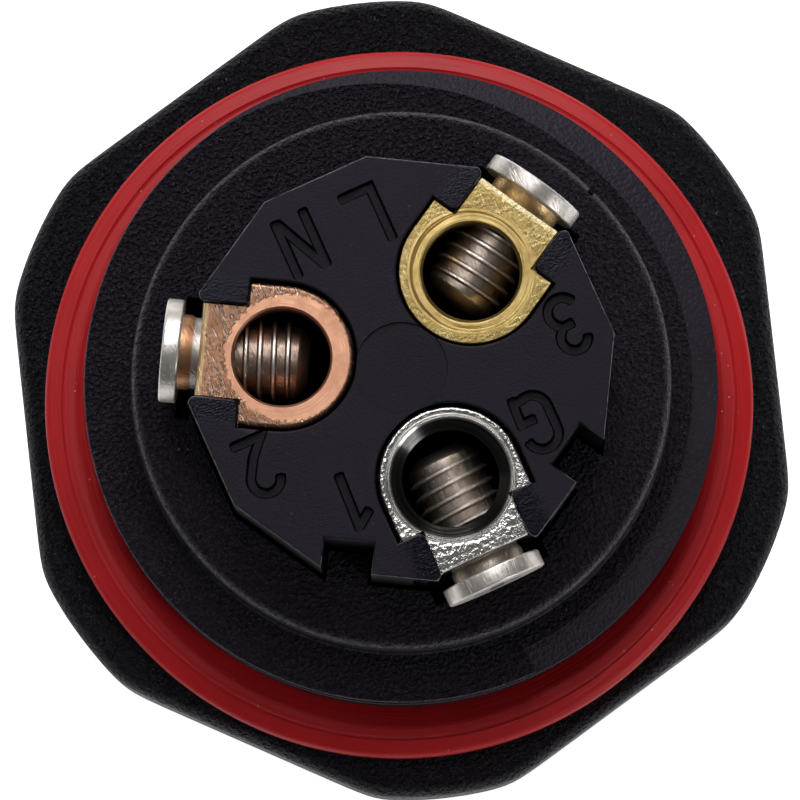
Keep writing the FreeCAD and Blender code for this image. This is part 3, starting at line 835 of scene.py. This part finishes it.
terminal_finishes = {
    "ground": dict(
        slot="nickel", clean=(0.86, 0.83, 0.80), dull=(0.66, 0.63, 0.60), roughness=0.14,
        edge=0.16 * mm, end_highlight_colour=(0.92, 0.90, 0.88), boss_shade=1.0,
        mouth=(0.48 * mm, 0.30 * mm), mouth_shade=0.08,
        ring=2.45 * mm, ring_shift=0.0, ragged=0.06 * mm,
        lines=0.004 * mm, lines_per_metre=14000.0, line_colour=(0.40, 0.37, 0.34),
        scratch=0.004 * mm, scratch_colour=(0.80, 0.77, 0.74),
        dents=0.030 * mm, dents_per_metre=4800.0),
    "line": dict(
        slot="brass", clean=(0.68, 0.50, 0.20), dull=(0.48, 0.335, 0.115), roughness=0.28,
        edge=0.06 * mm, end_highlight_colour=(0.95, 0.78, 0.45), boss_shade=0.76,
        mouth=(0.1 * mm, 0.1 * mm), mouth_shade=0.8,
        ring=2.35 * mm, ring_shift=0.0, ragged=0.05 * mm,
        lines=0.014 * mm, lines_per_metre=9000.0, line_colour=(0.20, 0.12, 0.035),
        scratch=0.003 * mm, scratch_colour=(0.80, 0.61, 0.28),
        dents=0.014 * mm, dents_per_metre=6500.0),
    "neutral": dict(
        slot="copper", clean=(0.88, 0.475, 0.295), dull=(0.66, 0.325, 0.195), roughness=0.30,
        edge=0.20 * mm, end_highlight_colour=(0.90, 0.66, 0.35), boss_shade=0.52,
        mouth=(0.08 * mm, 0.08 * mm), mouth_shade=0.8,
        ring=2.5 * mm, ring_shift=0.42 * mm, ragged=0.08 * mm,
        lines=0.002 * mm, lines_per_metre=14000.0, line_colour=(0.70, 0.36, 0.25),
        scratch=0.016 * mm, scratch_colour=(1.0, 0.76, 0.62),
        dents=0.008 * mm, dents_per_metre=6500.0),
}
scratches_per_metre = 12500.0
ring_softness = 0.08 * mm
mouth_margin = 0.02 * mm
mouth_shade_low, mouth_shade_high = terminal_top - 0.06 * mm, terminal_top - 0.02 * mm
# Painted highlight: a light line along the top of each block's outer end, where the edge catches the light.
end_edge_start, end_edge_full = block_end - 0.24 * mm, block_end - 0.14 * mm
end_edge_low, end_edge_high = terminal_top - 0.3 * mm, terminal_top - 0.15 * mm
bore_shade = (0.10, 0.07, 0.05)
bore_shade_stops = [(shank_bottom / terminal_top, 1.0), (0.45, bore_shade),
                    (1 - 2.2 * mm / terminal_top, bore_shade), (1 - 0.6 * mm / terminal_top, 1.0)]
pillar_side = [(block_end, block_corner - block_half_width), (block_end - block_corner, -block_half_width)]
pillar_side += edge_arc((terminal_pitch, 0), block_half_width, 270, 180, 32)
pillar_outline = pillar_side + mirrored(pillar_side)[1:]
shank_section = [(pin_tip_flat, pin_tip)]
shank_section += edge_arc((pin_radius - pin_tip_round, pin_tip + pin_tip_round), pin_tip_round, -80, 0, 8)
shank_section += [
    (pin_radius, pin_undercut_bottom),
    (pin_undercut_radius, pin_undercut_bottom),
    (pin_undercut_radius, pin_root_bottom),
    (pin_root_radius, pin_root_bottom),
    (pin_root_radius, shank_bottom),
    (shank_radius, shank_bottom),
    (shank_radius, shank_groove_low),
    (shank_groove_radius, shank_groove_low),
    (shank_groove_radius, shank_groove_high),
    (shank_radius, shank_groove_high),
    (shank_radius, pocket_floor + shank_lap),
]
rebate_outline = [(rebate_start, boss_half_width), (rebate_end, boss_half_width),
                  (rebate_end, rebate_side), (rebate_start, rebate_side)]
cross_section = [(clamp_hole_radius, terminal_pitch), (clamp_hole_radius, block_end - clamp_hole_lead),
                 (clamp_hole_radius + clamp_hole_flare, block_end - clamp_hole_lead + clamp_hole_flare)]
lie_down = Matrix.Rotation(pi / 2, 4, "Y")
for pole, angle in pole_angles.items():
    finish = terminal_finishes[pole]
    mouth_width, mouth_depth = finish["mouth"]
    terminal = prism("terminal_" + finish["slot"], pillar_outline, pocket_floor + layer_lap, terminal_top)
    rounded_edges(terminal, terminal_top - top_edge_depth, finish["edge"])
    shank = lofted("shank", turned_rings(bore_angles, shank_section))
    shank.data.transform(to_bore)
    combined(terminal, "UNION", [shank])
    cutters = []
    for side in (-1, 1):
        outline = [(x, side * y) for x, y in rebate_outline]
        cutters.append(prism("rebate", outline, rebate_floor, terminal_top + overshoot))
    wire_section = [(drill_point, wire_bottom - drill_tip), (wire_radius, wire_bottom),
                    (wire_radius, terminal_top - mouth_depth),
                    (wire_radius + 2 * mouth_width, terminal_top + mouth_depth)]
    wire_bore = lofted("wire_bore", turned_rings(bore_angles, wire_section))
    wire_bore.data.transform(to_bore)
    cross_hole = lofted("cross_hole", turned_rings(bore_angles, cross_section))
    cross_hole.data.transform(Matrix.Translation((0, 0, clamp_axis)) @ lie_down)
    combined(terminal, "DIFFERENCE", cutters + [wire_bore, cross_hole])
    terminal.data.transform(Matrix.Rotation(radians(angle), 4, "Z"))
    shaded(terminal, crease=32.0)
    surface, shader, place, colour, scratched = metal(
        finish["slot"], finish["clean"], finish["dull"], finish["roughness"], scratches_per_metre)
    lines = from_group(turned_lines, {"Place": place, "Axis": polar(terminal_pitch, radians(angle), 0),
                                      "Lines per metre": finish["lines_per_metre"]})
    height = part_of(place, "Z")
    reached = vector_result("DOT_PRODUCT", place, polar(1, radians(angle), 0))
    dents = noise(place, finish["dents_per_metre"], 2.0)
    ragged = ranged(dents, 0.3, 0.7, -finish["ragged"], finish["ragged"])
    past_bore = ranged(reached, terminal_pitch - wire_radius, terminal_pitch + wire_radius, 0.0,
                       finish["ring_shift"])
    ring_reach = maths("ADD", maths("ADD", lines["Radius"], past_bore), ragged)
    on_ring = ranged(ring_reach, finish["ring"] + ring_softness, finish["ring"])
    off_ring = maths("SUBTRACT", 1.0, on_ring)
    scratches = product(scratched, off_ring)
    normal = bumped(scratches, finish["scratch"], invert=True)
    normal = bumped(product(lines["Height"], on_ring), finish["lines"], Normal=normal)
    normal = bumped(product(dents, off_ring), finish["dents"], Normal=normal)
    line_mask = product(ranged(lines["Height"], 0.52, 0.44), on_ring)
    lined = blended(line_mask, colour, finish["line_colour"])
    boss = tinted(lined, between(off_ring, 1.0, finish["boss_shade"]))
    marked = blended(scratches, boss, finish["scratch_colour"])
    in_mouth = maths("LESS_THAN", lines["Radius"], wire_radius + mouth_width + mouth_margin)
    mouth_shade = ranged(height, mouth_shade_low, mouth_shade_high, finish["mouth_shade"])
    mouthed = tinted(marked, blended(in_mouth, (1, 1, 1), mouth_shade))
    at_end = ranged(reached, end_edge_start, end_edge_full)
    at_top = ranged(height, end_edge_low, end_edge_high)
    end_highlighted = blended(product(at_end, at_top), mouthed, finish["end_highlight_colour"])
    depth_shade = ramp(maths("DIVIDE", height, terminal_top), bore_shade_stops)
    fill(shader, {"Base Color": tinted(end_highlighted, depth_shade), "Normal": normal})
    terminal.data.materials.append(surface)
    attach(terminal, "coupler")
    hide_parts("terminal_" + pole)

# Clamp screws: three bright plated steel screws, rolled with a sharp right-hand thread, with a flat head and
# a cross recess. Each is screwed in from the side until its tip stands across the wire bore.
screw_radius = 1.5 * mm
screw_core_radius = 1.32 * mm
screw_pitch = 0.52 * mm
screw_neck_radius = 1.40 * mm
screw_neck_length, screw_neck_taper = 0.33 * mm, 0.15 * mm
screw_head_radius = 1.93 * mm
screw_head_thickness = 0.65 * mm
screw_head_foot, screw_head_round = 0.08 * mm, 0.09 * mm
screw_tip_flat, screw_tip_gap, screw_tip_room = 0.7 * mm, 0.06 * mm, 0.03 * mm
screw_tip_reach = sqrt(wire_radius ** 2 - screw_tip_flat ** 2) - screw_tip_gap
screw_tip_length, screw_tip_step = 0.4 * mm, 0.03 * mm
thread_start, thread_neck_gap = 0.5 * mm, 0.3 * mm
ridge_half_foot, ridge_half_crest = 0.15 * mm, 0.035 * mm
ridge_foot_radius, ridge_least_radius = screw_core_radius - 0.06 * mm, screw_core_radius - 0.03 * mm
recess_depth = 0.9 * mm
recess_half_length, recess_half_width = 0.95 * mm, 0.275 * mm
plating_clean, plating_dull = (0.97, 0.955, 0.94), (0.74, 0.71, 0.68)
# Painted highlight: the thread crests are lighter than the flanks and the core.
crest_highlight_tint = (1.0, 0.96, 0.92)
crest_start, crest_full = screw_neck_radius + 0.02 * mm, screw_radius - 0.03 * mm
# Painted reflection: the necks under the heads take the colour of the terminal around them, nickel, brass or
# copper.
neck_reflection_tints = {"ground": (0.55, 0.48, 0.40), "line": (0.75, 0.52, 0.26), "neutral": (0.72, 0.40, 0.22)}
# Painted shade on the length of each screw inside its terminal, with a painted copper-brown reflection in
# the copper one.
bore_shade_tints = {"ground": (0.52, 0.44, 0.38), "line": (0.52, 0.44, 0.38), "neutral": (0.40, 0.31, 0.26)}
neck_tint_lap, bright_length = 0.1 * mm, 0.45 * mm
tint_step = 0.01


def tip_dome(height):
    """Radius of the domed tip, which fits the far wall of the wire bore when the screw is driven home."""
    return sqrt(wire_radius ** 2 - max(0.0, screw_tip_reach - height) ** 2) - screw_tip_room


def thread_ridge(height, thread_end):
    """Section of the thread's ridge, lower in the domed tip and where the thread runs out."""
    in_tip = tip_dome(height - ridge_half_foot)
    crest = max(ridge_least_radius, min(screw_radius, in_tip, screw_core_radius + thread_end - height))
    return [(ridge_foot_radius, -ridge_half_foot), (crest, -ridge_half_crest), (crest, ridge_half_crest),
            (ridge_foot_radius, ridge_half_foot)]


for pole, angle in pole_angles.items():
    outward = polar(1, radians(angle), 0)
    reach = sorted(vertex.co.dot(outward) for vertex in frame["nodes"]["clamp_screw_" + pole].data.vertices)
    length = reach[-1] - reach[0]
    under_head = length - screw_head_thickness
    neck_start = under_head - screw_neck_length
    thread_end = neck_start - thread_neck_gap
    tip_heights = [screw_tip_length * step / 6 for step in range(7)]
    screw_section = [(tip_dome(height), height) for height in tip_heights]
    screw_section += [(screw_core_radius, screw_tip_length + screw_tip_step),
                      (screw_core_radius, neck_start - screw_neck_taper),
                      (screw_neck_radius, neck_start), (screw_neck_radius, under_head)]
    screw_section += edge_arc((screw_head_radius - screw_head_foot, under_head + screw_head_foot),
                              screw_head_foot, -90, 0, 4)
    screw_section += edge_arc((screw_head_radius - screw_head_round, length - screw_head_round),
                              screw_head_round, 0, 90, 8)
    screw = lofted("screw_" + pole, turned_rings(bore_angles, screw_section))
    ridge = along_thread("thread_ridge", lambda height: thread_ridge(height, thread_end), thread_start,
                         thread_end, screw_pitch, phase=0.0, steps_per_turn=56)
    combined(screw, "UNION", [ridge])
    slot_outline = strip(-recess_half_length, recess_half_length, recess_half_width)
    recess = [prism("recess", turned_to(slot_outline, turn), length - recess_depth, length + overshoot)
              for turn in (0, 90)]
    combined(screw, "DIFFERENCE", recess)
    shaded(screw, crease=32.0)
    seat = Matrix.Translation(outward * reach[0] + clamp_axis * upwards)
    screw.data.transform(seat @ Matrix.Rotation(radians(angle), 4, "Z") @ lie_down)
    plating, shader, place, colour, scratched = metal(
        "zinc_steel", plating_clean, plating_dull, roughness=0.34, scratches_per_metre=9000.0)
    along = ranged(vector_result("DOT_PRODUCT", place, outward), reach[0], reach[-1])
    neck_level = (neck_start - neck_tint_lap) / length
    bright_level = neck_level - bright_length / length
    head_level = under_head / length
    # Painted light along each screw: shade inside the terminal, untinted just outside it, the terminal's
    # reflected colour on the neck, untinted on the head.
    screw_light_tint = ramp(along, [
        (0.0, bore_shade_tints[pole]), (bright_level - tint_step, bore_shade_tints[pole]), (bright_level, 1.0),
        (neck_level - tint_step, 1.0), (neck_level, neck_reflection_tints[pole]),
        (head_level - tint_step, neck_reflection_tints[pole]), (head_level + tint_step, 1.0)])
    from_centre = vector_result("SUBTRACT", place, (0, 0, clamp_axis))
    off_axis = vector_result("LENGTH", vector_result("CROSS_PRODUCT", from_centre, outward))
    crest_highlighted = blended(ranged(off_axis, crest_start, crest_full), screw_light_tint, crest_highlight_tint)
    fill(shader, {
        "Base Color": tinted(colour, crest_highlighted), "Normal": bumped(scratched, 0.008 * mm, invert=True)})
    screw.data.materials.append(plating)
    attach(screw, "screw_" + pole)
    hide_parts("clamp_screw_" + pole)

# Stage: a plain pale table under the coupler, a large soft light from the far side, weaker ones from the
# left and from overhead, and a low one from the near right.
table_glow = (0.3, 0.3, 0.3)
form = bmesh.new()
bmesh.ops.create_grid(form, x_segments=8, y_segments=8, size=1.0)
floor = new_piece("table", form)
paper, shader, place = new_material("table_white")
pale = ramp(noise(place, 40.0, 4.0), [(0.3, 0.90), (0.7, 0.93)])
seen = paper.node_tree.nodes.new("ShaderNodeLightPath").outputs["Is Camera Ray"]
fill(shader, {
    "Base Color": pale,
    "Emission Color": blended(seen, table_glow, pale),
    "Emission Strength": 1.0,
    "Roughness": 0.8})
floor.data.materials.append(paper)

view_turn = radians(155.7)
image_right = polar(1, view_turn, 0)
image_up = upwards.cross(image_right)
aim = flange_top * upwards


def soft_light(name, right, up, height, size, watts):
    """Square soft light placed in the picture's own directions, in metres from the coupler."""
    light = bpy.data.lights.new(name, "AREA")
    light.size = size
    light.energy = watts
    lamp = bpy.data.objects.new(name, light)
    bpy.context.scene.collection.objects.link(lamp)
    lamp.location = aim + right * image_right + up * image_up + height * upwards
    lamp.rotation_euler = (aim - lamp.location).to_track_quat("-Z", "Y").to_euler()


soft_light("far_light", right=0.0, up=0.38, height=0.40, size=0.35, watts=1.6)
soft_light("left_light", right=-0.40, up=0.12, height=0.40, size=0.25, watts=0.16)
soft_light("overhead_light", right=-0.04, up=0.16, height=0.55, size=0.15, watts=0.36)
soft_light("near_light", right=0.35, up=-0.30, height=0.25, size=0.15, watts=0.45)
world = bpy.data.worlds.new("studio")
world.use_nodes = True
fill(world.node_tree.nodes["Background"], {"Color": (1, 1, 1), "Strength": 0.08})
bpy.context.scene.world = world
bpy.context.scene.view_settings.view_transform = "Standard"

camera = bpy.data.cameras.new("photo_camera")
camera.sensor_width = 36.0
camera.lens = 350.8
camera.clip_start = 0.01
camera.clip_end = 20.0
camera_tilt = radians(4.7)
camera_distance = 0.3
camera_left, camera_down = 0.046 * mm, 0.124 * mm
towards = (-image_up * sin(camera_tilt) + upwards * cos(camera_tilt)).normalized()
view_up = (image_up - towards * image_up.dot(towards)).normalized()
view_right = view_up.cross(towards)
stand = aim - camera_left * image_right - camera_down * image_up + towards * camera_distance
viewer = bpy.data.objects.new("photo_camera", camera)
bpy.context.scene.collection.objects.link(viewer)
facing = Matrix((view_right, view_up, towards)).transposed().to_4x4()
viewer.matrix_world = Matrix.Translation(stand) @ facing
bpy.context.scene.camera = viewer
